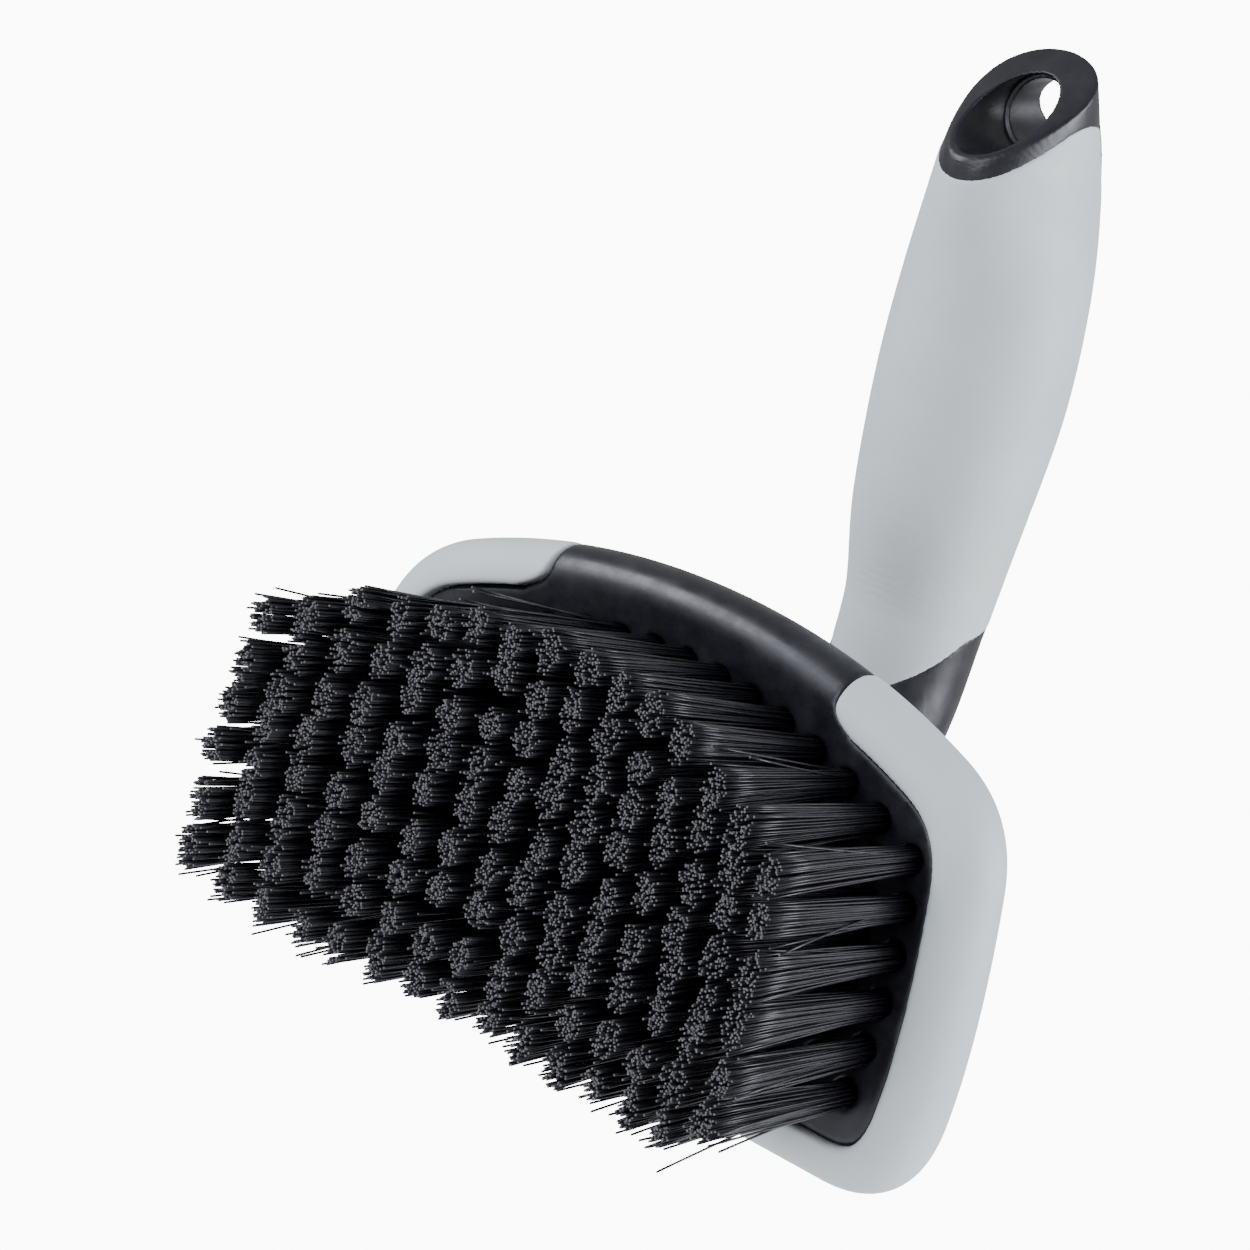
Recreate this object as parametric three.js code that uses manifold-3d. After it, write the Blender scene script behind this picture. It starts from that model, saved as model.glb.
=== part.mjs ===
// Short-handled wheel brush, in millimetres.
// +Z runs up the handle, +X along the head, and the bristles point along -Y.
// The origin is under the middle of the whole brush, level with the head's lower edge.
// Until the last step everything is drawn with the front face of the bristle plate at y = 0,
// and with z = 0 near the middle of the head.
//
// One hard plastic core forms the head and the handle. A soft grip is moulded round the
// handle, a soft bumper round the rim of the head, and fifteen rows of bristle tufts sit
// in blind holes in the plate.
import * as THREE from 'three';
import { mergeVertices } from 'three/addons/utils/BufferGeometryUtils.js';
import Module from 'manifold-3d';

const wasm = await Module();
wasm.setup();

// Head
const HEAD_TOP = 41.3;
const HEAD_FOOT = -40.5;
const LOWER_EDGE_LENGTH = 106;
const OUTLINE_CURVES = [
  { control: { x: 68.3, z: HEAD_FOOT }, end: { x: 69.1, z: -24 } },
  { control: { x: 69.9, z: -8 }, end: { x: 66.3, z: 13.7 } },
  { control: { x: 64, z: 26.8 }, end: { x: 52, z: 31.6 } },
  { control: { x: 28, z: HEAD_TOP }, end: { x: 0, z: HEAD_TOP } },
];
const PLATE_THICKNESS = 13.2;
const RIM_WIDTH = 8;
const RIM_STEPS = 5;
const FLAT_BAND = 0.2;
const BUMPER_WALL = 3.2;
const BUMPER_PROUD = 0.8;
const BARE_TOP_LENGTH = 63;
const BACK_DOME = { halfX: 50, halfY: 9.4, halfZ: 29, y: 9.6 };
const FRONT_DISH = { halfX: 60, halfY: 4, halfZ: 33.5, y: 0 };

// Bristles
const ROW_COUNT = 15;
const ROW_PITCH = 7.85;
const ROW_BOW = 0.045;
const TUFT_PITCH = 7.4;
const HOLE_RADIUS = 2.5;
const HOLE_DEPTH = 10.5;
const ROW_TOP = { z: 29.3, drop: 0.0042 };
const ROW_FOOT = { z: -29.4, cornerX: 46, rise: 0.033 };
const BOW_CENTRE = { z: -12, half: 28 };
const BRISTLE_LENGTH = 33.4;
const END_ROW_EXTRA = 6;
const END_ROW_X = 58;
const SPLAY = 1.045;
const TUFT_SIDES = 6;
const TUFT_TIP_HALF_X = 2.9;
const TUFT_TIP_HALF_Z = 4.8;

// Handle: the spine's place, and half of its width and depth, from the head to the free end
const HANDLE_STATIONS = [
  { y: 9, z: -3, width: 25, depth: 16 },
  { y: 29, z: -3, width: 19, depth: 14.5 },
  { y: 48.8, z: 3, width: 15, depth: 14 },
  { y: 61.3, z: 19, width: 13, depth: 12.6 },
  { y: 63.6, z: 38, width: 12.8, depth: 13 },
  { y: 61, z: 58, width: 15.2, depth: 15.5 },
  { y: 59.5, z: 80, width: 16.7, depth: 17.1 },
  { y: 57, z: 101, width: 15.3, depth: 17.7 },
  { y: 53.2, z: 119, width: 11.3, depth: 18.2 },
  { y: 51.3, z: 129, width: 10.9, depth: 12.8 },
  { y: 49.8, z: 137, width: 10.2, depth: 8.8 },
  { y: 48.4, z: 146, width: 8.6, depth: 7.6 },
];
const HANDLE_SIDES = 24;
const HANDLE_RINGS = 30;
const END_FACE = { y: 49, z: 128.9, slope: 0.94 };

// Grip: it ends along a sloping line that levels off towards the back, at its top and its foot
const GRIP_WALL = 2.4;
const GRIP_TOP = { y: 49, z: 125.3, slope: 0.88 };
const GRIP_TOP_LEVEL = { y: 0, z: 128, slope: 0 };
const GRIP_FOOT = { y: 58.7, z: 33, slope: 1.05 };
const GRIP_FOOT_LEVEL = { y: 65, z: 37.7, slope: 0.3 };
const GRIP_LOWEST = { y: 0, z: 17, slope: 0 };
const BACK_STRIP_WIDTH = 16;

// Hanging hole: it rises a little towards the back, where it steps down to a narrower bore
const HANG_HOLE = { y: 45, z: 125.9, rise: 0.125, radius: 6.9, stepRadius: 6, stepDepth: 9.5 };
const HANG_HOLE_SIDES = 28;

// Clearance between two pieces that are moulded or set into each other
const GAP = 0.3;

// A cutter this long reaches past the object
const REACH = 200;

const corePlastic = { color: 0x24242a, roughness: 0.42, metalness: 0 };
const softGrey = { color: 0xbcc0c4, roughness: 0.68, metalness: 0 };
const filament = { color: 0x1c1c20, roughness: 0.4, metalness: 0 };

// Turns a closed three.js geometry into a manifold solid.
function solid(geometry) {
  const bare = geometry.index ? geometry.toNonIndexed() : geometry.clone();
  bare.deleteAttribute('normal');
  bare.deleteAttribute('uv');
  const welded = mergeVertices(bare, 1e-4);
  return new wasm.Manifold(new wasm.Mesh({
    numProp: 3,
    vertProperties: Float32Array.from(welded.attributes.position.array),
    triVerts: Uint32Array.from(welded.index.array),
  }));
}

function namedMesh(name, body, finish) {
  const result = body.getMesh();
  const geometry = new THREE.BufferGeometry();
  geometry.setAttribute('position', new THREE.BufferAttribute(result.vertProperties, 3));
  geometry.setIndex(new THREE.BufferAttribute(result.triVerts, 1));
  geometry.computeVertexNormals();
  const mesh = new THREE.Mesh(geometry, new THREE.MeshStandardMaterial(finish));
  mesh.name = name;
  return mesh;
}

// The head's outline in the XZ plane: a straight lower edge, rounded corners, ends that
// lean in slightly towards the top, and a bowed upper edge.
function headOutline() {
  const half = new THREE.Path();
  half.moveTo(0, HEAD_FOOT);
  half.lineTo(LOWER_EDGE_LENGTH / 2, HEAD_FOOT);
  for (const { control, end } of OUTLINE_CURVES) {
    half.quadraticCurveTo(control.x, control.z, end.x, end.z);
  }
  const right = half.getPoints(6);
  const left = right.slice(1, -1).reverse().map((p) => new THREE.Vector2(-p.x, p.y));
  return right.concat(left);
}

// The same outline moved in by a distance. It is convex, so each point slides along its normal.
function insetOutline(distance) {
  const outline = headOutline();
  return outline.map((point, i) => {
    const before = outline[(i + outline.length - 1) % outline.length];
    const after = outline[(i + 1) % outline.length];
    const along = after.clone().sub(before).normalize();
    return new THREE.Vector2(point.x - along.y * distance, point.y + along.x * distance);
  });
}

// A slab of the head's outline from y0 to y1 with its rim rounded to a half circle.
function roundSlab(inset, y0, y1) {
  const radius = (y1 - y0) / 2;
  const geometry = new THREE.ExtrudeGeometry(new THREE.Shape(insetOutline(inset + radius)), {
    depth: 2 * FLAT_BAND,
    bevelThickness: radius - FLAT_BAND,
    bevelSize: radius,
    bevelSegments: RIM_STEPS,
  });
  geometry.rotateX(Math.PI / 2);
  geometry.translate(0, y1 - radius + FLAT_BAND, 0);
  return solid(geometry);
}

// A slab of the head's outline from y0 to y1 with square edges.
function squareSlab(inset, y0, y1) {
  const geometry = new THREE.ExtrudeGeometry(new THREE.Shape(insetOutline(inset)), {
    depth: y1 - y0,
    bevelEnabled: false,
  });
  geometry.rotateX(Math.PI / 2);
  geometry.translate(0, y1, 0);
  return solid(geometry);
}

// The part of the rim along the top where the bare core shows between the bumper's ends.
function bareTop(clearance) {
  const length = BARE_TOP_LENGTH + 2 * clearance;
  const box = new THREE.BoxGeometry(length, REACH, HEAD_TOP);
  box.translate(0, 0, HEAD_TOP);
  return solid(box);
}

// Evaluates the handle's spine and half sizes at t = 0 (head) to 1 (free end).
const spineCurve = new THREE.CatmullRomCurve3(
  HANDLE_STATIONS.map((s) => new THREE.Vector3(0, s.y, s.z)),
);
const sizeCurve = new THREE.CatmullRomCurve3(
  HANDLE_STATIONS.map((s) => new THREE.Vector3(s.width, s.depth, 0)),
);

// A closed sleeve body along the spine, with its surface moved in by a distance.
function handleLoft(inset) {
  const geometry = new THREE.CylinderGeometry(1, 1, 1, HANDLE_SIDES, HANDLE_RINGS);
  const position = geometry.attributes.position;
  const local = new THREE.Vector3();
  for (let i = 0; i < position.count; i += 1) {
    local.fromBufferAttribute(position, i);
    const t = local.y + 0.5;
    const centre = spineCurve.getPoint(t);
    const size = sizeCurve.getPoint(t);
    const tangent = spineCurve.getTangent(t);
    const across = new THREE.Vector3(0, -tangent.z, tangent.y);
    centre.addScaledVector(across, local.z * (size.y - inset));
    position.setXYZ(i, local.x * (size.x - inset), centre.y, centre.z);
  }
  return solid(geometry);
}

// Everything above a plane that holds the X axis direction and rises with y at a slope.
function above(plane, lift = 0) {
  const halfSpace = new THREE.BoxGeometry(REACH, REACH, REACH);
  halfSpace.translate(0, 0, REACH / 2);
  halfSpace.rotateX(Math.atan(plane.slope));
  halfSpace.translate(0, plane.y, plane.z + lift);
  return solid(halfSpace);
}

// The bare strip down the back of the handle, from the spine outwards.
function backStrip(width) {
  const side = new THREE.Shape();
  side.moveTo(REACH, -REACH);
  for (const point of spineCurve.getPoints(HANDLE_RINGS)) side.lineTo(point.y, point.z);
  side.lineTo(REACH, REACH);
  const strip = new THREE.ExtrudeGeometry(side, { depth: width, bevelEnabled: false });
  strip.rotateZ(Math.PI / 2);
  strip.rotateY(Math.PI / 2);
  strip.translate(-width / 2, 0, 0);
  return solid(strip);
}

// The space that the grip fills: between its top and its foot, less the bare back strip.
function gripZone(clearance) {
  return above(GRIP_FOOT, -clearance)
    .add(above(GRIP_FOOT_LEVEL, -clearance))
    .intersect(above(GRIP_LOWEST))
    .subtract(above(GRIP_TOP, clearance))
    .subtract(above(GRIP_TOP_LEVEL, clearance))
    .subtract(backStrip(BACK_STRIP_WIDTH - 2 * clearance));
}

function hangingHole() {
  const bore = (radius, from, to) => {
    const geometry = new THREE.CylinderGeometry(radius, radius, to - from, HANG_HOLE_SIDES);
    geometry.translate(0, (from + to) / 2, 0);
    geometry.rotateX(Math.atan(HANG_HOLE.rise));
    geometry.translate(0, HANG_HOLE.y, HANG_HOLE.z);
    return solid(geometry);
  };
  const front = bore(HANG_HOLE.radius, -REACH / 2, HANG_HOLE.stepDepth);
  return front.add(bore(HANG_HOLE.stepRadius, 0, REACH / 2));
}

// Tuft centres of one row at the bristle tips. The upper end of a row follows the bowed top
// edge of the head, the lower end rounds off near the head's corners, and the rows bow with
// the ends of the head.
function tuftTips(row) {
  const x = (row - (ROW_COUNT - 1) / 2) * ROW_PITCH * SPLAY;
  const top = ROW_TOP.z - ROW_TOP.drop * x ** 2;
  const bottom = ROW_FOOT.z + ROW_FOOT.rise * Math.max(0, Math.abs(x) - ROW_FOOT.cornerX) ** 2;
  const count = Math.round((top - bottom) / TUFT_PITCH) + 1;
  const y = -(BRISTLE_LENGTH + END_ROW_EXTRA * (x / END_ROW_X) ** 2);
  const tips = [];
  for (let i = 0; i < count; i += 1) {
    const z = bottom + ((top - bottom) * i) / (count - 1);
    const bow = 1 - ROW_BOW * ((z - BOW_CENTRE.z) / BOW_CENTRE.half) ** 2;
    tips.push(new THREE.Vector3(x * bow, y, z));
  }
  return tips;
}

// One tuft: a straight foot in its hole, then a flare to the trimmed tips.
function tuft(tip) {
  const rings = [
    { y: HOLE_DEPTH - GAP, x: HOLE_RADIUS - GAP, z: HOLE_RADIUS - GAP, slide: 0 },
    { y: 0, x: HOLE_RADIUS - GAP, z: HOLE_RADIUS - GAP, slide: 0 },
    { y: tip.y, x: TUFT_TIP_HALF_X, z: TUFT_TIP_HALF_Z, slide: 1 },
  ];
  const geometry = new THREE.CylinderGeometry(1, 1, 2, TUFT_SIDES, 2);
  const position = geometry.attributes.position;
  for (let i = 0; i < position.count; i += 1) {
    const ring = rings[Math.round(1 - position.getY(i))];
    const place = ring.slide + (1 - ring.slide) / SPLAY;
    const x = tip.x * place + position.getX(i) * ring.x;
    position.setXYZ(i, x, ring.y, tip.z * place + position.getZ(i) * ring.z);
  }
  return solid(geometry);
}

// A tuft's hole, cut by a cylinder that is centred in the plate's front face.
function tuftHole(tip) {
  const height = 2 * HOLE_DEPTH;
  const geometry = new THREE.CylinderGeometry(HOLE_RADIUS, HOLE_RADIUS, height, TUFT_SIDES);
  geometry.translate(tip.x / SPLAY, 0, tip.z / SPLAY);
  return solid(geometry);
}

function union(bodies) {
  return bodies.reduce((all, body) => all.add(body));
}

// A flattened ball: the low dome on the back of the head, from which the handle's neck
// rises, or the shallow dish in the front of the plate.
function flatBall({ halfX, halfY, halfZ, y }) {
  const geometry = new THREE.SphereGeometry(1, 24, 12);
  geometry.scale(halfX, halfY, halfZ);
  geometry.translate(0, y, 0);
  return solid(geometry);
}

// The hard plastic core: the dished plate with its tuft holes, a rib under the bumper, the
// bare top of the rim, the back dome, and the handle with its hanging hole.
function coreBody(rows) {
  const full = roundSlab(0, 0, PLATE_THICKNESS);
  const shown = squareSlab(RIM_WIDTH, -1, PLATE_THICKNESS + 1).add(bareTop(0));
  const rib = roundSlab(BUMPER_WALL, BUMPER_WALL, PLATE_THICKNESS - BUMPER_WALL);
  const sleeved = handleLoft(0).subtract(gripZone(GAP));
  const handle = handleLoft(GRIP_WALL + GAP).add(sleeved);
  const trimmed = handle.subtract(above(END_FACE)).subtract(hangingHole());
  const holes = union(rows.flat().map(tuftHole));
  const body = union([full.intersect(shown), rib, flatBall(BACK_DOME), trimmed]);
  return body.subtract(flatBall(FRONT_DISH)).subtract(holes);
}

function gripBody() {
  return handleLoft(0).intersect(gripZone(0)).subtract(handleLoft(GRIP_WALL));
}

// The soft bumper: a channel round the ends and the lower edge of the rim.
function bumperBody() {
  const front = -BUMPER_PROUD;
  const back = PLATE_THICKNESS + BUMPER_PROUD;
  const wall = BUMPER_WALL - GAP;
  const outside = roundSlab(0, front, back);
  const plate = squareSlab(RIM_WIDTH - GAP, front - 1, back + 1);
  const channel = roundSlab(wall, wall, PLATE_THICKNESS - wall);
  return outside.subtract(plate).subtract(bareTop(GAP)).subtract(channel);
}

const rows = Array.from({ length: ROW_COUNT }, (unused, row) => tuftTips(row));
const brush = new THREE.Group();
brush.add(namedMesh('core', coreBody(rows), corePlastic));
brush.add(namedMesh('grip', gripBody(), softGrey));
brush.add(namedMesh('bumper', bumperBody(), softGrey));
rows.forEach((tips, row) => {
  const name = `tuft_row_${String(row + 1).padStart(2, '0')}`;
  brush.add(namedMesh(name, union(tips.map(tuft)), filament));
});

const bounds = new THREE.Box3().setFromObject(brush);
const middle = bounds.getCenter(new THREE.Vector3());
brush.position.set(-middle.x, -middle.y, -bounds.min.z);

export default brush;
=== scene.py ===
"""Wheel brush: a black core, a grey grip and bumper, and rows of loose bristle filaments.

Lengths inside this script are millimetres in a drawing frame: +Z up the handle, +X along
the head, bristles along -Y, with y = 0 at the front of the bristle plate's rim and z = 0
near the middle of the head. They turn into the row's frame, in metres, when an object is made.
The core, grip and bumper are signed distance fields, meshed with OpenVDB, so their blends
and rounded edges are real geometry.
"""
import math

import bpy
import numpy as np
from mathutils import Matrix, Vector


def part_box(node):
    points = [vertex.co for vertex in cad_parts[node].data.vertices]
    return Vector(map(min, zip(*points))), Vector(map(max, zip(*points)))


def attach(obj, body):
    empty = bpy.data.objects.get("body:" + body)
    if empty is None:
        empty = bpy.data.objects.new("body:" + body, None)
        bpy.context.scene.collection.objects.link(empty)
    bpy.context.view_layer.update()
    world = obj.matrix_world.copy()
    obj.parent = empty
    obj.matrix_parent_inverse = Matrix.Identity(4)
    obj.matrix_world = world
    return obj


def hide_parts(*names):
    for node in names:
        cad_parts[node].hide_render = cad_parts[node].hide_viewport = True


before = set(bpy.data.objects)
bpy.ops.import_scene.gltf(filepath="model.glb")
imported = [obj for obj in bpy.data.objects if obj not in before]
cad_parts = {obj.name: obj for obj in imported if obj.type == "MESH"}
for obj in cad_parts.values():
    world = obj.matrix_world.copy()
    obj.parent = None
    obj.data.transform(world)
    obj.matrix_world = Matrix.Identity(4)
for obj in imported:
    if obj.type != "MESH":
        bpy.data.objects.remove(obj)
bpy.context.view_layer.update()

import openvdb
from mathutils import Matrix, Vector

METRES = 0.001
ROWS = sorted(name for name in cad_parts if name.startswith("tuft_row"))
HEAD_TOP = 41.3
HEAD_FOOT = -40.5
BUMPER_PROUD = 0.8
bumper_corner = np.array(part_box("bumper")[0]) / METRES
DRAWING_ORIGIN = np.array([0.0, bumper_corner[1] + BUMPER_PROUD, bumper_corner[2] - HEAD_FOOT])


def box_mm(node):
    """Lowest and highest corners of a CAD node at rest, in the drawing frame."""
    low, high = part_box(node)
    return np.array(low) / METRES - DRAWING_ORIGIN, np.array(high) / METRES - DRAWING_ORIGIN


def to_row(points):
    """Drawing frame in millimetres to row frame in metres."""
    return (np.asarray(points) + DRAWING_ORIGIN) * METRES


BUMPER_LOW, BUMPER_HIGH = box_mm("bumper")
CORE_LOW, CORE_HIGH = box_mm("core")
GRIP_LOW, GRIP_HIGH = box_mm("grip")

# Head: half of its outline is the lower edge, then curves given by control point and end
HALF_X = BUMPER_HIGH[0]
LOWER_EDGE_HALF = 53.0
OUTLINE_CURVES = [
    ((68.3, HEAD_FOOT), (69.1, -24.0)),
    ((69.9, -8.0), (66.3, 13.7)),
    ((64.0, 26.8), (52.0, 31.6)),
    ((28.0, HEAD_TOP), (0.0, HEAD_TOP)),
]
POINTS_PER_CURVE = 24
PLATE_THICKNESS = 13.2
RIM_WIDTH = 8.0
BUMPER_WALL = 3.2
BUMPER_EDGE_ROUNDING = 0.9
BARE_TOP_HALF = 31.5
BARE_CORNER_RADIUS = 4.5
CORE_SET_BACK = 0.15
CORE_EDGE_ROUNDING = 0.6
DOME_CENTRE = np.array([0.0, 9.6, 0.0])
DOME_HALF = np.array([50.0, 9.4, 29.0])
DOME_FRONT = 5.0
DOME_FILLET = 3.0
DISH_CENTRE = np.array([0.0, 0.0, 0.0])
DISH_HALF = np.array([60.0, 4.0, 33.5])
DISH_ROUNDING = 1.5
NECK_FILLET = 9.0

# Handle: the spine's y and z, and half of its width and depth, from the head to the free end
HANDLE_STATIONS = np.array([
    [9.0, -3.0, 25.0, 16.0],
    [29.0, -3.0, 19.0, 14.5],
    [48.8, 3.0, 15.0, 14.0],
    [61.3, 19.0, 13.0, 12.6],
    [63.6, 38.0, 12.8, 13.0],
    [61.0, 58.0, 15.2, 15.5],
    [59.5, 80.0, 16.7, 17.1],
    [57.0, 101.0, 15.3, 17.7],
    [53.2, 119.0, 11.3, 18.2],
    [51.3, 129.0, 10.9, 12.8],
    [49.8, 137.0, 10.2, 8.8],
    [48.4, 146.0, 8.6, 7.6],
])
SAMPLES_PER_STATION = 28
END_FACE = {"y": 49.0, "z": 128.9, "slope": 0.94}
END_FACE_CROWN = 0.8
END_ROUNDING = 0.5
SPINE_OVERRUN = 1.0
LEAST_SLOPE = 0.001  # keeps the handle's field finite on its spine
GRIP_WALL = 2.4
GRIP_TOP = {"y": 49.0, "z": 125.5, "slope": 0.88}
GRIP_TOP_LEVEL = {"y": 0.0, "z": 128.0, "slope": 0.0}
GRIP_FOOT = {"y": 58.7, "z": 33.0, "slope": 1.05}
GRIP_FOOT_LEVEL = {"y": 65.0, "z": 37.8, "slope": 0.35}
GRIP_TOP_ROUNDING = 3.0
GRIP_LOWEST = 17.0
GRIP_EDGE_ROUNDING = 0.5
GRIP_INNER_ROUNDING = 0.4
BACK_STRIP_HALF = 8.4
BACK_STRIP_ROUNDING = 1.5

# The core reaches this far into the grip, so that no gap shows between them
CORE_OVERLAP = 0.4

# Hanging hole: it rises towards the back, where it steps down to a narrower bore
HOLE_Y = 45.0
HOLE_Z = 125.9
HOLE_RISE = 0.125
HOLE_STEP_Y = 54.5
HOLE_MOUTH_RADIUS = 6.8
HOLE_EXIT_RADIUS = 6.0
HOLE_ROUNDING = 0.3

# Rows of tufts: each runs from a foot that rises near the head's corners to a top that
# follows the bowed upper edge, and bows with the ends of the head
ROW_PITCH = 7.85
ROW_BOW = 0.045
BOW_CENTRE_Z = -12.0
BOW_HALF = 28.0
ROW_TOP_Z = 29.3
ROW_TOP_DROP = 0.0042
ROW_FOOT_Z = -29.4
ROW_FOOT_CORNER_X = 46.0
ROW_FOOT_RISE = 0.033
TUFT_PITCH = 7.4
SPLAY = 1.045
SOCKET_RADIUS = 2.3
SOCKET_DEPTH = 7.5
SOCKET_ROUNDING = 0.4

# Filaments: how a tuft fans out, and how far single ones leave their place
FILAMENT_RADIUS = 0.2
FILAMENTS_PER_TUFT = 84
FILAMENT_SIDES = 6
FILAMENT_STEPS = 5
FOOT_RADIUS = 2.0
TIP_SPREAD_X = 2.3
TIP_SPREAD_Z = 3.4
END_ROW_SPREAD = 0.35
SPREAD_RANGE = (0.78, 1.18)
FLARE_POWER = 1.15
SWAY = 0.18
ROOT_SCATTER = 0.06
TUFT_LEAN = (0.4, 0.6)
CLUMPS = 4
CLUMP_RANGE = 0.75
CLUMP_PULL = 0.4
CLUMP_FALL_OFF = 0.35
TIP_SCATTER = 0.3
LOOSE_SHARE = 0.18
LOOSE_SCATTER = 1.0
STRAY_SHARE = 0.018
STRAY_SCATTER = 2.6
STRAY_LIMIT = 4.5
STRAY_SHORTFALL = 1.5
LENGTH_SCATTER = 0.25
FILAMENT_FOOT_CLEARANCE = 0.5
GOLDEN_ANGLE = math.pi * (3.0 - math.sqrt(5.0))
FIRST_SEED = 100

# Meshing: grid spacings, margin in cells, the limit of a stored distance, and the corners of
# the box round the handle's end where the core's grid is finer
CORE_GRID = 0.6
CAP_GRID = 0.3
GRIP_GRID = 0.4
BUMPER_GRID = 0.45
GRID_MARGIN = 3
FIELD_LIMIT = 1.8
CAP_LOW = np.array([-13.0, 34.0, 108.0])
CAP_HIGH = np.array([13.0, 75.0, 150.0])

# Studio: brightness, the floor, the point that the lamps aim at, and the camera in degrees
SURROUND_LIGHT = 0.6
SEEN_WHITE = 11.0
FLOOR_DROP = 320.0
FLOOR_HALF = 12000.0
LAMP_AIM = (0.0, 20.0, 50.0)
CAMERA_AZIMUTH = 36.61
CAMERA_ELEVATION = 11.35
CAMERA_ROLL = 16.47
CAMERA_PLACE = (362.0, -504.0, 156.0)
CAMERA_LENS = 112.32
CAMERA_SENSOR = 36.0
CAMERA_REACH = 50000.0

# Colours, and how far a filament's roughness drifts
COOL_GLEAM = (0.86, 0.88, 1.0, 1.0)
RUBBER_DEEP = (0.382, 0.430, 0.474)
RUBBER_PALE = (0.438, 0.480, 0.515)
RUBBER_WARM = (0.438, 0.462, 0.468)
RUBBER_SPECK = (0.36, 0.37, 0.385)
PLASTIC_BLACK = (0.0032, 0.0032, 0.0052)
PLASTIC_HAZE = (0.0115, 0.0115, 0.0155)
FILAMENT_BLACK = (0.0016, 0.0016, 0.0028)
FILAMENT_GREY = (0.0045, 0.0046, 0.0068)
# Cut ends: their lighter grey is partly the rough cut face and partly painted light, a painted
# highlight that stands in for the front light on the ends
CUT_END_DARK_WITH_PAINTED_LIGHT = (0.045, 0.045, 0.052)
CUT_END_PALE_WITH_PAINTED_LIGHT = (0.105, 0.106, 0.117)
FILAMENT_WEAR = 0.12
PAPER_DULL = (0.90, 0.90, 0.90)
PAPER_WHITE = (0.94, 0.94, 0.94)


# ---------------------------------------------------------------- distance fields

def smooth_min(a, b, radius):
    """Union of two fields with a fillet of about this radius."""
    h = np.clip(0.5 + 0.5 * (b - a) / radius, 0.0, 1.0)
    return b + (a - b) * h - radius * h * (1.0 - h)


def smooth_max(a, b, radius):
    """Intersection of two fields with its edge rounded by about this radius."""
    return -smooth_min(-a, -b, radius)


def bezier(start, control, end, count):
    """Points of a quadratic curve, without its end."""
    t = np.linspace(0.0, 1.0, count, endpoint=False)[:, None]
    return (1 - t) ** 2 * start + 2 * t * (1 - t) * control + t ** 2 * end


def head_outline():
    """The head's outline in XZ: straight lower edge, leaning ends and a bowed top."""
    start = np.array([LOWER_EDGE_HALF, HEAD_FOOT])
    right = [np.array([[0.0, HEAD_FOOT]])]
    for control, end in OUTLINE_CURVES:
        right.append(bezier(start, np.array(control), np.array(end), POINTS_PER_CURVE))
        start = np.array(end)
    right = np.concatenate(right + [start[None]])
    left = right[1:-1][::-1] * [-1.0, 1.0]
    return np.concatenate([right, left])


def polygon_distance(x, z, polygon):
    """Signed distance to a closed polygon on a 2-D grid, negative inside."""
    nearest = np.full(np.broadcast(x, z).shape, np.inf, dtype=np.float32)
    inside = np.zeros(nearest.shape, dtype=bool)
    for (ax, az), (bx, bz) in zip(polygon, np.roll(polygon, -1, axis=0)):
        ex, ez = bx - ax, bz - az
        along = np.clip(((x - ax) * ex + (z - az) * ez) / (ex * ex + ez * ez), 0.0, 1.0)
        nearest = np.minimum(nearest, np.hypot(x - ax - along * ex, z - az - along * ez))
        if az != bz:
            crosses = (az > z) != (bz > z)
            inside ^= crosses & (x < ax + (z - az) * ex / ez)
    return np.where(inside, -nearest, nearest).astype(np.float32)


def slab(outline, y, y0, y1):
    """The outline's slab from y0 to y1 with its rim rounded to a half circle."""
    radius = (y1 - y0) / 2
    across = np.maximum(outline + radius, 0.0)
    return np.hypot(across, y - (y0 + y1) / 2) - radius


def catmull_rom(points, per_span):
    """A smooth curve through every point, with per_span samples between neighbours."""
    ends = np.vstack([2 * points[0] - points[1], points, 2 * points[-1] - points[-2]])
    t = np.linspace(0.0, 1.0, per_span, endpoint=False)[:, None]
    spans = []
    for a, b, c, d in zip(ends, ends[1:], ends[2:], ends[3:]):
        spans.append(0.5 * (2 * b + (c - a) * t + (2 * a - 5 * b + 4 * c - d) * t ** 2
                            + (3 * b - a - 3 * c + d) * t ** 3))
    return np.vstack(spans + [points[-1:]])


class Handle:
    """Distance to the handle's curved, oval body, looked up on a grid in the YZ plane."""

    def __init__(self, y, z):
        samples = catmull_rom(HANDLE_STATIONS, SAMPLES_PER_STATION).astype(np.float32)
        tangent = np.gradient(samples[:, :2], axis=0)
        tangent /= np.linalg.norm(tangent, axis=1, keepdims=True)
        flat_y, flat_z = (a.ravel() for a in np.broadcast_arrays(y, z))
        best = np.full(flat_y.shape, np.inf, dtype=np.float32)
        index = np.zeros(flat_y.shape, dtype=np.int32)
        for i, (sy, sz) in enumerate(samples[:, :2]):
            gap = (flat_y - sy) ** 2 + (flat_z - sz) ** 2
            closer = gap < best
            best[closer] = gap[closer]
            index[closer] = i
        shape = np.broadcast(y, z).shape
        offset_y = flat_y - samples[index, 0]
        offset_z = flat_z - samples[index, 1]
        self.normal = (offset_y * tangent[index, 1] - offset_z * tangent[index, 0]).reshape(shape)
        self.along = (offset_y * tangent[index, 0] + offset_z * tangent[index, 1]).reshape(shape)
        self.half_width = samples[index, 2].reshape(shape)
        self.half_depth = samples[index, 3].reshape(shape)

    def distance(self, x, inset=0.0):
        """Field of the body drawn in by an inset: its oval side, and its two ends."""
        width, depth = self.half_width - inset, self.half_depth - inset
        ratio = np.sqrt((x / width) ** 2 + (self.normal / depth) ** 2)
        slope = np.sqrt((x / width ** 2) ** 2 + (self.normal / depth ** 2) ** 2)
        side = ratio * (ratio - 1.0) / np.maximum(slope, LEAST_SLOPE)
        return np.maximum(side, np.abs(self.along) - SPINE_OVERRUN)


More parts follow.
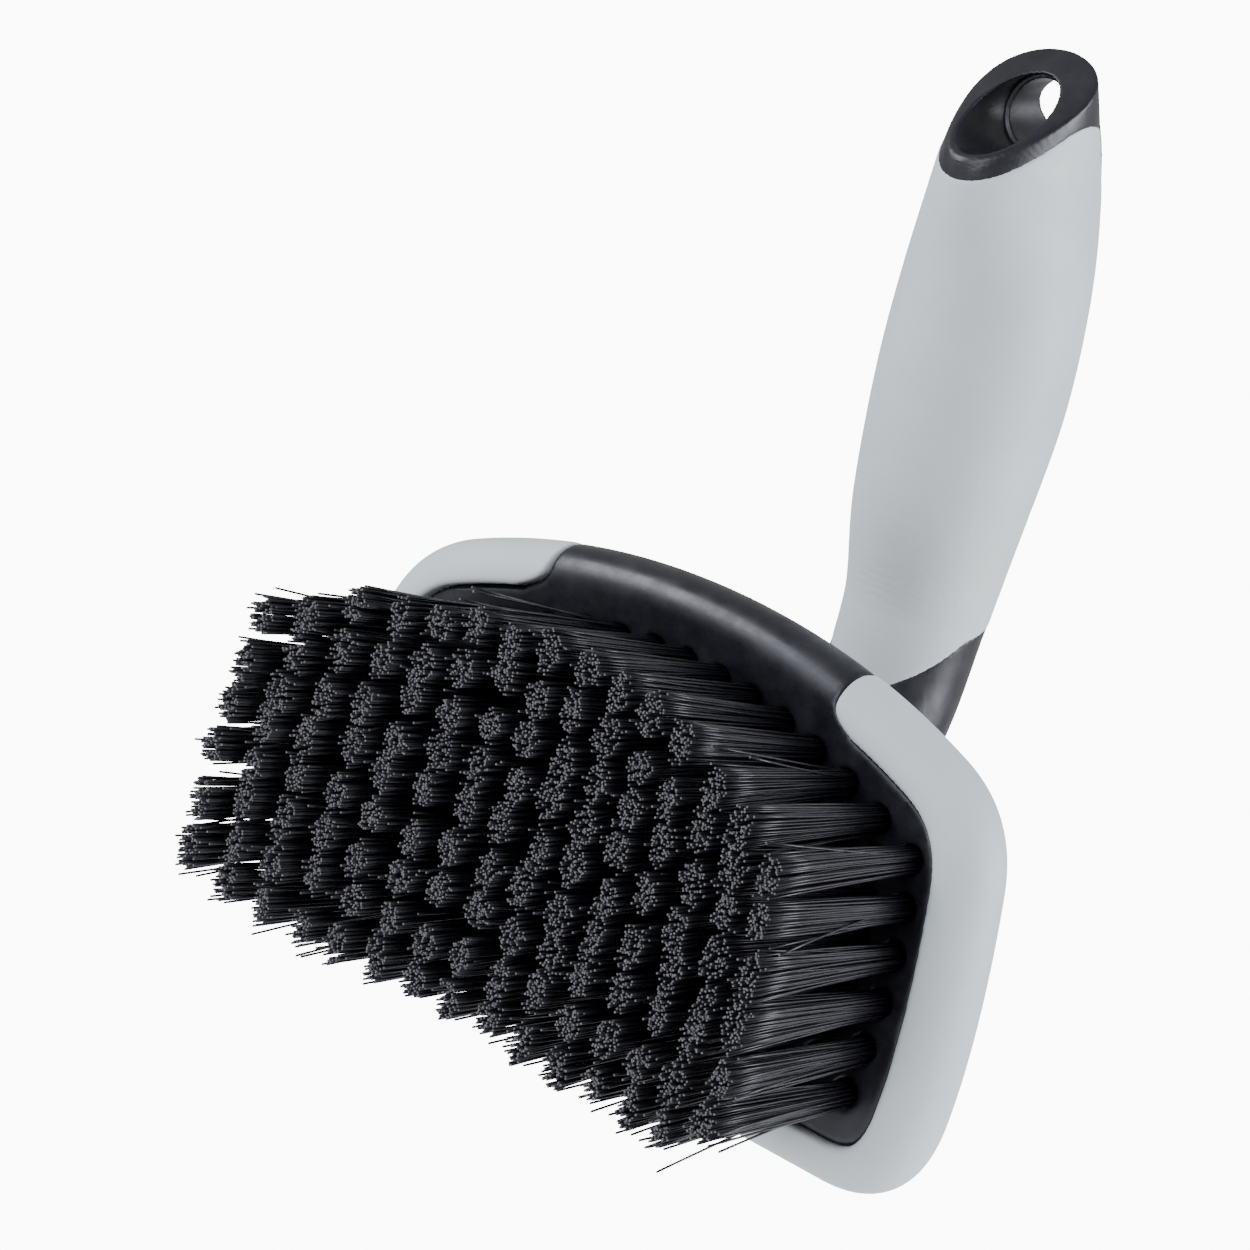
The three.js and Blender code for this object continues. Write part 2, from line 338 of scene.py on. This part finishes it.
def above_plane(y, z, plane):
    """Signed height above a plane that holds the X direction and rises with y."""
    rise = plane["slope"] * (y - plane["y"])
    return (z - plane["z"] - rise) / math.hypot(1.0, plane["slope"])


def grip_zone(x, y, z, handle, grow):
    """Negative where the grip lies: between its sloping ends and off the back strip."""
    foot = np.maximum(above_plane(y, z, GRIP_FOOT), above_plane(y, z, GRIP_FOOT_LEVEL))
    top = smooth_max(above_plane(y, z, GRIP_TOP), above_plane(y, z, GRIP_TOP_LEVEL),
                     GRIP_TOP_ROUNDING)
    ends = np.maximum(np.maximum(-foot, top), GRIP_LOWEST - z)
    strip = np.maximum(np.abs(x) - BACK_STRIP_HALF, -handle.normal)
    return smooth_max(ends, -strip, BACK_STRIP_ROUNDING) - grow


def bare_top(x, z):
    """Negative where the core shows along the top of the rim, flared at its lower corners."""
    foot_z = HEAD_TOP - RIM_WIDTH - BARE_CORNER_RADIUS
    flare = BARE_CORNER_RADIUS * np.clip(1.0 - (z - foot_z) / BARE_CORNER_RADIUS, 0.0, 1.0) ** 2
    return np.maximum(np.abs(x) - BARE_TOP_HALF - flare, HEAD_TOP / 2 - z)


def hanging_hole(x, y, z):
    """The leaning bore through the handle's end, wider as far as its step."""
    radius = np.hypot(x, z - HOLE_Z - HOLE_RISE * (y - HOLE_Y))
    mouth = np.maximum(radius - HOLE_MOUTH_RADIUS, y - HOLE_STEP_Y)
    return np.minimum(mouth, radius - HOLE_EXIT_RADIUS)


def flat_ball(x, y, z, centre, half):
    """Distance, measured along Y, to a ball flattened to these half sizes."""
    ratio = np.sqrt(((x - centre[0]) / half[0]) ** 2 + ((y - centre[1]) / half[1]) ** 2
                    + ((z - centre[2]) / half[2]) ** 2)
    return (ratio - 1.0) * half[1]


def tuft_tips(row):
    """Tip centres of one row's tufts, in millimetres."""
    x = (row - (len(ROWS) - 1) / 2) * ROW_PITCH * SPLAY
    top = ROW_TOP_Z - ROW_TOP_DROP * x * x
    bottom = ROW_FOOT_RISE * max(0.0, abs(x) - ROW_FOOT_CORNER_X) ** 2 + ROW_FOOT_Z
    count = round((top - bottom) / TUFT_PITCH) + 1
    z = np.linspace(bottom, top, count)
    bow = 1.0 - ROW_BOW * ((z - BOW_CENTRE_Z) / BOW_HALF) ** 2
    y = box_mm(ROWS[row])[0][1]
    return np.column_stack([x * bow, np.full(count, y), z])


# ---------------------------------------------------------------- meshing

def new_object(name, vertices, faces, replaces):
    """A mesh object that stands in for a CAD node, from millimetres in the drawing frame."""
    mesh = bpy.data.meshes.new(name)
    mesh.from_pydata(to_row(vertices).tolist(), [], faces)
    mesh.validate()
    mesh.update()
    piece = bpy.data.objects.new(name, mesh)
    bpy.context.scene.collection.objects.link(piece)
    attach(piece, "root")
    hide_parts(replaces)
    return piece


def for_broadcasting(lines):
    """Three lines of coordinates, shaped so that x, y and z combine into a full grid."""
    x, y, z = (line.astype(np.float32) for line in lines)
    return x[:, None, None], y[None, :, None], z[None, None, :]


def axes(low, high, spacing):
    """Evenly spaced grid coordinates that cover a box with a margin."""
    margin = GRID_MARGIN * spacing
    return for_broadcasting([np.arange(a - margin, b + margin, spacing)
                             for a, b in zip(low, high)])


def evenly(start, stop, spacing):
    """Coordinates from start up to, but without, stop, no further apart than the spacing."""
    count = max(math.ceil((stop - start) / spacing), 0)
    return np.linspace(start, stop, count, endpoint=False)


def graded_axes(low, high, spacing, fine_low, fine_high, fine_spacing):
    """Grid coordinates that cover a box with a margin and lie closer inside a smaller box."""
    margin = GRID_MARGIN * spacing
    lines = []
    for a, b, fine_a, fine_b in zip(low - margin, high + margin, fine_low, fine_high):
        start, stop = max(a, fine_a), min(b, fine_b)
        lines.append(np.concatenate([
            evenly(a, start, spacing),
            evenly(start, stop, fine_spacing),
            evenly(stop, b, spacing),
        ]))
    return for_broadcasting(lines)


def mesh_field(node, name, field, grid_axes):
    """Meshes the zero level of a field as one closed, smooth-shaded object."""
    grid = openvdb.FloatGrid(FIELD_LIMIT)
    grid.copyFromArray(np.ascontiguousarray(np.clip(field, -FIELD_LIMIT, FIELD_LIMIT)))
    cells, triangles, quads = grid.convertToPolygons(isovalue=0.0, adaptivity=0.0)
    points = np.column_stack([np.interp(cells[:, i], np.arange(axis.size), axis.ravel())
                              for i, axis in enumerate(grid_axes)])
    faces = [tuple(face[::-1]) for face in quads.tolist()]
    faces += [tuple(face[::-1]) for face in triangles.tolist()]
    piece = new_object(name, points, faces, node)
    piece.data.polygons.foreach_set("use_smooth", [True] * len(piece.data.polygons))
    return piece


def core_edge(outline, y):
    """The thinner edge of the bristle plate, which the bumper is moulded round."""
    return slab(outline + BUMPER_WALL, y, BUMPER_WALL, PLATE_THICKNESS - BUMPER_WALL)


def core_head(x, y, z, outline):
    """The bristle plate with its bare top, its edge, the dome on its back and its dish."""
    full = slab(outline + CORE_SET_BACK, y, CORE_SET_BACK, PLATE_THICKNESS)
    shown = np.minimum(outline + RIM_WIDTH, bare_top(x, z))
    head = smooth_max(full, shown, CORE_EDGE_ROUNDING)
    head = np.minimum(head, core_edge(outline, y))
    dome = flat_ball(x, y, z, DOME_CENTRE, DOME_HALF)
    head = smooth_min(head, np.maximum(dome, DOME_FRONT - y), DOME_FILLET)
    dish = flat_ball(x, y, z, DISH_CENTRE, DISH_HALF)
    return smooth_max(head, -dish, DISH_ROUNDING)


def core_handle(x, y, z):
    """The bar inside the grip, full-sized where it is bare, with its hanging hole."""
    handle = Handle(y[0], z[0])
    zone = grip_zone(x, y, z, handle, -CORE_OVERLAP)
    bare = np.maximum(handle.distance(x, CORE_SET_BACK), -zone)
    bar = np.minimum(handle.distance(x, GRIP_WALL - CORE_OVERLAP), bare)
    bar = np.maximum(bar, HANDLE_STATIONS[0, 0] - y)
    end = above_plane(y, z, END_FACE) - END_FACE_CROWN * (1.0 - (x / handle.half_width) ** 2)
    bar = smooth_max(bar, end, END_ROUNDING)
    return smooth_max(bar, -hanging_hole(x, y, z), HOLE_ROUNDING)


def tuft_sockets(x, y, z):
    """The blind holes that hold the tufts."""
    roots = np.vstack([tuft_tips(row) for row in range(len(ROWS))])[:, [0, 2]] / SPLAY
    nearest = np.full(np.broadcast(x, z).shape, np.inf, dtype=np.float32)
    for root_x, root_z in roots:
        nearest = np.minimum(nearest, np.hypot(x - root_x, z - root_z))
    return np.maximum(nearest - SOCKET_RADIUS, y - SOCKET_DEPTH)


def build_core():
    grid_axes = graded_axes(CORE_LOW, CORE_HIGH, CORE_GRID, CAP_LOW, CAP_HIGH, CAP_GRID)
    x, y, z = grid_axes
    outline = polygon_distance(x[:, 0, :], z[:, 0, :], head_outline())[:, None, :]
    body = smooth_min(core_head(x, y, z, outline), core_handle(x, y, z), NECK_FILLET)
    body = smooth_max(body, -tuft_sockets(x, y, z), SOCKET_ROUNDING)
    return mesh_field("core", "core_body", body, grid_axes)


def build_grip():
    grid_axes = axes(GRIP_LOW, GRIP_HIGH, GRIP_GRID)
    x, y, z = grid_axes
    handle = Handle(y[0], z[0])
    shell = smooth_max(handle.distance(x), -handle.distance(x, GRIP_WALL), GRIP_INNER_ROUNDING)
    body = smooth_max(shell, grip_zone(x, y, z, handle, 0.0), GRIP_EDGE_ROUNDING)
    return mesh_field("grip", "grip_sleeve", body, grid_axes)


def build_bumper():
    grid_axes = axes(BUMPER_LOW, BUMPER_HIGH, BUMPER_GRID)
    x, y, z = grid_axes
    outline = polygon_distance(x[:, 0, :], z[:, 0, :], head_outline())[:, None, :]
    back = PLATE_THICKNESS + BUMPER_PROUD
    outside = slab(outline, y, -BUMPER_PROUD, back)
    inner = np.minimum(outline + RIM_WIDTH, bare_top(x, z))
    body = smooth_max(outside, -inner, BUMPER_EDGE_ROUNDING)
    body = np.maximum(body, -core_edge(outline, y))
    return mesh_field("bumper", "bumper_bead", body, grid_axes)


# ---------------------------------------------------------------- bristles

def tip_offsets(count, spread, rng):
    """Where a tuft's filaments end, round its middle: an oval that has drawn into clumps."""
    order = np.arange(count) + 0.5
    radius = np.sqrt(order / count)
    angle = order * GOLDEN_ANGLE + rng.uniform(0.0, 2.0 * math.pi)
    disc = np.column_stack([radius * np.cos(angle), radius * np.sin(angle)])
    clumps = rng.uniform(-CLUMP_RANGE, CLUMP_RANGE, (CLUMPS, 2))
    gap = np.linalg.norm(disc[:, None] - clumps[None], axis=2)
    nearest = gap.argmin(axis=1)
    pull = CLUMP_PULL * np.exp(-gap.min(axis=1) ** 2 / CLUMP_FALL_OFF)[:, None]
    ends = (disc + (clumps[nearest] - disc) * pull) * spread
    return disc, ends + rng.normal(0.0, TIP_SCATTER, ends.shape)


def filament_paths(tip, rng):
    """Centre lines of one tuft's filaments: (count, steps + 1, 3) in millimetres."""
    count = FILAMENTS_PER_TUFT
    outward = (tip[0] / HALF_X) ** 4
    spread = np.array([TIP_SPREAD_X, TIP_SPREAD_Z * (1.0 + END_ROW_SPREAD * outward)])
    spread *= rng.uniform(*SPREAD_RANGE, 2)
    disc, ends = tip_offsets(count, spread, rng)
    root = np.array([tip[0] / SPLAY, tip[2] / SPLAY])
    root = root + disc * FOOT_RADIUS + rng.normal(0.0, ROOT_SCATTER, disc.shape)
    end = np.array([tip[0], tip[2]]) + rng.normal(0.0, TUFT_LEAN) + ends

    loose = rng.random(count) < LOOSE_SHARE
    end[loose] += rng.normal(0.0, LOOSE_SCATTER, (loose.sum(), 2))
    stray = rng.random(count) < STRAY_SHARE
    away = rng.normal(0.0, STRAY_SCATTER, (stray.sum(), 2))
    end[stray] += np.clip(away, -STRAY_LIMIT, STRAY_LIMIT)
    length = -tip[1] + rng.normal(0.0, LENGTH_SCATTER, count)
    length[stray] -= np.abs(rng.normal(0.0, STRAY_SHORTFALL, stray.sum()))

    s = np.linspace(0.0, 1.0, FILAMENT_STEPS + 1)
    blend = (s ** FLARE_POWER)[None, :, None]
    sway = rng.normal(0.0, SWAY, (count, 1, 2)) * np.sin(math.pi * s)[None, :, None]
    flat = root[:, None, :] * (1.0 - blend) + end[:, None, :] * blend + sway
    depth = SOCKET_DEPTH - FILAMENT_FOOT_CLEARANCE
    y = depth - (length + depth)[:, None] * s[None, :]
    return np.stack([flat[..., 0], y, flat[..., 1]], axis=-1)


def sweep(paths):
    """Tubes with a flat cut end along the paths: vertices, quads and end polygons."""
    count, rings = paths.shape[:2]
    angle = np.linspace(0.0, 2.0 * math.pi, FILAMENT_SIDES, endpoint=False)
    circle = np.stack([np.cos(angle), np.zeros_like(angle), np.sin(angle)], axis=-1)
    vertices = paths[:, :, None, :] + FILAMENT_RADIUS * circle[None, None]
    corner = np.arange(FILAMENT_SIDES)
    after = (corner + 1) % FILAMENT_SIDES
    ring = np.arange(rings - 1)[:, None] * FILAMENT_SIDES
    quads = np.stack([ring + corner, ring + after, ring + FILAMENT_SIDES + after,
                      ring + FILAMENT_SIDES + corner], axis=-1).reshape(-1, 4)
    start = (np.arange(count) * rings * FILAMENT_SIDES)[:, None, None]
    sides = (quads[None] + start).reshape(-1, 4)
    tips = corner[None] + (rings - 1) * FILAMENT_SIDES + start[:, 0]
    feet = corner[None, ::-1] + start[:, 0]
    return vertices.reshape(-1, 3), sides, tips, feet


def build_row(row):
    rng = np.random.default_rng(FIRST_SEED + row)
    paths = np.concatenate([filament_paths(tip, rng) for tip in tuft_tips(row)])
    vertices, sides, tips, feet = sweep(paths)
    faces = sides.tolist() + tips.tolist() + feet.tolist()
    piece = new_object(ROWS[row] + "_filaments", vertices, faces, ROWS[row])
    smooth = np.zeros(len(faces), dtype=bool)
    smooth[:len(sides)] = True
    # The cut ends' faces take the end material, whose lighter grey is partly painted highlight
    cut = np.zeros(len(faces), dtype=np.int32)
    cut[len(sides):len(sides) + len(tips)] = 1
    piece.data.polygons.foreach_set("use_smooth", smooth)
    piece.data.materials.append(FILAMENT)
    piece.data.materials.append(FILAMENT_END_WITH_PAINTED_LIGHT)
    piece.data.polygons.foreach_set("material_index", cut)
    return piece


# ---------------------------------------------------------------- materials

# Sockets of the mix node that carry colours
MIX_COLOUR_A, MIX_COLOUR_B, MIX_COLOUR_RESULT = 6, 7, 2


class Nodes:
    """Small helper that adds and links shader nodes in one material."""

    def __init__(self, name):
        self.material = bpy.data.materials.new(name)
        self.material.use_nodes = True
        self.tree = self.material.node_tree
        self.shader = self.tree.nodes["Principled BSDF"]
        self.place = self.add("ShaderNodeTexCoord").outputs["Object"]

    def add(self, kind, **settings):
        node = self.tree.nodes.new(kind)
        for key, value in settings.items():
            setattr(node, key, value)
        return node

    def link(self, source, target):
        self.tree.links.new(source, target)

    def noise(self, size_mm, detail=3.0, roughness=0.5):
        """Cloudy noise with features of about this size."""
        node = self.add("ShaderNodeTexNoise")
        node.inputs["Scale"].default_value = 1.0 / (size_mm * METRES)
        node.inputs["Detail"].default_value = detail
        node.inputs["Roughness"].default_value = roughness
        self.link(self.place, node.inputs["Vector"])
        return node.outputs["Fac"]

    def remap(self, value, source, result):
        """A value carried from one (low, high) range to another, and held inside it."""
        node = self.add("ShaderNodeMapRange")
        node.inputs["From Min"].default_value = source[0]
        node.inputs["From Max"].default_value = source[1]
        node.inputs["To Min"].default_value = result[0]
        node.inputs["To Max"].default_value = result[1]
        self.link(value, node.inputs["Value"])
        return node.outputs["Result"]

    def mix(self, factor, dark, light):
        """A colour between two others, each one given as a tuple or as another node's output."""
        node = self.add("ShaderNodeMix", data_type="RGBA")
        self.link(factor, node.inputs["Factor"])
        for index, colour in ((MIX_COLOUR_A, dark), (MIX_COLOUR_B, light)):
            if isinstance(colour, tuple):
                node.inputs[index].default_value = (*colour, 1.0)
            else:
                self.link(colour, node.inputs[index])
        return node.outputs[MIX_COLOUR_RESULT]

    def bump(self, height, depth_mm, before=None):
        """A normal that shows this height, on top of an earlier bump if one is given."""
        node = self.add("ShaderNodeBump")
        node.inputs["Distance"].default_value = depth_mm * METRES
        self.link(height, node.inputs["Height"])
        if before is not None:
            self.link(before, node.inputs["Normal"])
        return node.outputs["Normal"]


def soft_rubber(name):
    """Light grey elastomer: cloudy tone, faint moulding marks, fine matt grain."""
    n = Nodes(name)
    cloud = n.remap(n.noise(22.0, detail=4.0), (0.3, 0.7), (0.0, 1.0))
    tone = n.mix(cloud, RUBBER_DEEP, RUBBER_PALE)
    warm = n.remap(n.noise(9.0), (0.55, 0.75), (0.0, 0.5))
    tone = n.mix(warm, tone, RUBBER_WARM)
    speck = n.remap(n.noise(0.8, detail=2.0), (0.70, 0.78), (0.0, 0.3))
    tone = n.mix(speck, tone, RUBBER_SPECK)
    n.link(tone, n.shader.inputs["Base Color"])
    n.link(n.remap(n.noise(6.0), (0.3, 0.7), (0.48, 0.62)), n.shader.inputs["Roughness"])
    n.shader.inputs["Specular IOR Level"].default_value = 0.35
    n.shader.inputs["Sheen Weight"].default_value = 0.1
    grain = n.bump(n.noise(0.28, detail=2.0), depth_mm=0.018)
    waves = n.bump(n.noise(3.5, detail=2.0), depth_mm=0.05, before=grain)
    n.link(waves, n.shader.inputs["Normal"])
    return n.material


def hard_plastic(name):
    """Satin black polypropylene: spark-eroded grain, hazy wear, slight tone drift."""
    n = Nodes(name)
    haze = n.remap(n.noise(9.0, detail=6.0, roughness=0.65), (0.45, 0.75), (0.0, 1.0))
    tone = n.mix(haze, PLASTIC_BLACK, PLASTIC_HAZE)
    n.link(tone, n.shader.inputs["Base Color"])
    wear = n.remap(n.noise(5.0, detail=5.0, roughness=0.65), (0.3, 0.7), (0.28, 0.50))
    n.link(wear, n.shader.inputs["Roughness"])
    n.shader.inputs["Specular IOR Level"].default_value = 0.45
    n.shader.inputs["Specular Tint"].default_value = COOL_GLEAM
    grain = n.bump(n.noise(0.22, detail=2.0), depth_mm=0.010)
    waves = n.bump(n.noise(5.0, detail=2.0), depth_mm=0.06, before=grain)
    n.link(waves, n.shader.inputs["Normal"])
    return n.material


def bristle(name, dark, light, roughness, specular):
    """Filament plastic: a tone and a roughness that drift a little along each filament."""
    n = Nodes(name)
    drift = n.remap(n.noise(0.6, detail=2.0), (0.3, 0.7), (0.0, 1.0))
    n.link(n.mix(drift, dark, light), n.shader.inputs["Base Color"])
    worn = roughness + FILAMENT_WEAR
    wear = n.remap(n.noise(1.5, detail=2.0), (0.3, 0.7), (roughness, worn))
    n.link(wear, n.shader.inputs["Roughness"])
    n.shader.inputs["Specular IOR Level"].default_value = specular
    n.shader.inputs["Specular Tint"].default_value = COOL_GLEAM
    n.link(n.bump(n.noise(0.15, detail=1.0), depth_mm=0.004), n.shader.inputs["Normal"])
    return n.material


# ---------------------------------------------------------------- studio

def add_light(name, place, size, power):
    """A soft round lamp in the drawing frame, aimed at the brush: millimetres and watts."""
    data = bpy.data.lights.new(name, "AREA")
    data.shape = "DISK"
    data.size = size * METRES
    data.energy = power
    light = bpy.data.objects.new(name, data)
    aim = Vector(to_row(LAMP_AIM))
    light.location = Vector(to_row(place))
    light.rotation_euler = (aim - light.location).to_track_quat("-Z", "Y").to_euler()
    bpy.context.scene.collection.objects.link(light)


def build_world():
    """An even surround that lights softly and is seen as plain white."""
    world = bpy.data.worlds.new("studio")
    bpy.context.scene.world = world
    world.use_nodes = True
    nodes, links = world.node_tree.nodes, world.node_tree.links
    path = nodes.new("ShaderNodeLightPath")
    strength = nodes.new("ShaderNodeMapRange")
    strength.inputs["To Min"].default_value = SURROUND_LIGHT
    strength.inputs["To Max"].default_value = SEEN_WHITE
    links.new(path.outputs["Is Camera Ray"], strength.inputs["Value"])
    background = nodes["Background"]
    background.inputs["Color"].default_value = (1.0, 1.0, 1.0, 1.0)
    links.new(strength.outputs["Result"], background.inputs["Strength"])


def build_floor():
    """A pale floor that bounces light like paper and is seen as plain white."""
    corners = [(side_x * FLOOR_HALF, side_y * FLOOR_HALF, -FLOOR_DROP)
               for side_x, side_y in ((-1, -1), (1, -1), (1, 1), (-1, 1))]
    mesh = bpy.data.meshes.new("floor")
    mesh.from_pydata(to_row(corners).tolist(), [], [(0, 1, 2, 3)])
    floor = bpy.data.objects.new("floor", mesh)
    bpy.context.scene.collection.objects.link(floor)
    n = Nodes("floor")
    paper = n.mix(n.noise(300.0), PAPER_DULL, PAPER_WHITE)
    n.link(paper, n.shader.inputs["Base Color"])
    n.shader.inputs["Roughness"].default_value = 0.9
    glow = n.add("ShaderNodeEmission")
    glow.inputs["Strength"].default_value = SEEN_WHITE
    blend = n.add("ShaderNodeMixShader")
    n.link(n.add("ShaderNodeLightPath").outputs["Is Camera Ray"], blend.inputs["Fac"])
    n.link(n.shader.outputs["BSDF"], blend.inputs[1])
    n.link(glow.outputs["Emission"], blend.inputs[2])
    n.link(blend.outputs["Shader"], n.tree.nodes["Material Output"].inputs["Surface"])
    mesh.materials.append(n.material)


def build_camera():
    """The camera that stands where the photo's stood, turned about its own line of sight."""
    azimuth = math.radians(CAMERA_AZIMUTH)
    elevation = math.radians(CAMERA_ELEVATION)
    roll = math.radians(CAMERA_ROLL)
    forward = Vector((-math.sin(azimuth) * math.cos(elevation),
                      math.cos(azimuth) * math.cos(elevation), -math.sin(elevation)))
    level = Vector((math.cos(azimuth), math.sin(azimuth), 0.0))
    upright = level.cross(forward)
    right = level * math.cos(roll) + upright * math.sin(roll)
    up = upright * math.cos(roll) - level * math.sin(roll)
    data = bpy.data.cameras.new("camera")
    data.sensor_width = CAMERA_SENSOR
    data.lens = CAMERA_LENS
    data.clip_end = CAMERA_REACH * METRES
    camera = bpy.data.objects.new("camera", data)
    turn = Matrix((right, up, -forward)).transposed().to_4x4()
    camera.matrix_world = Matrix.Translation(to_row(CAMERA_PLACE)) @ turn
    bpy.context.scene.collection.objects.link(camera)
    bpy.context.scene.camera = camera


FILAMENT = bristle("filament", FILAMENT_BLACK, FILAMENT_GREY, roughness=0.28, specular=0.45)
# The end material's lighter grey is partly the rough cut face and partly painted highlight
FILAMENT_END_WITH_PAINTED_LIGHT = bristle("filament_end_painted_light", CUT_END_DARK_WITH_PAINTED_LIGHT, CUT_END_PALE_WITH_PAINTED_LIGHT, roughness=0.60, specular=0.3)
build_core().data.materials.append(hard_plastic("core_plastic"))
build_grip().data.materials.append(soft_rubber("grip_rubber"))
build_bumper().data.materials.append(soft_rubber("bumper_rubber"))
for number in range(len(ROWS)):
    build_row(number)
build_world()
build_floor()
add_light("key", place=(-760.0, -640.0, 620.0), size=700.0, power=15.0)
add_light("front", place=(250.0, -1100.0, 500.0), size=900.0, power=12.0)
add_light("side", place=(900.0, 520.0, 250.0), size=800.0, power=19.0)
build_camera()
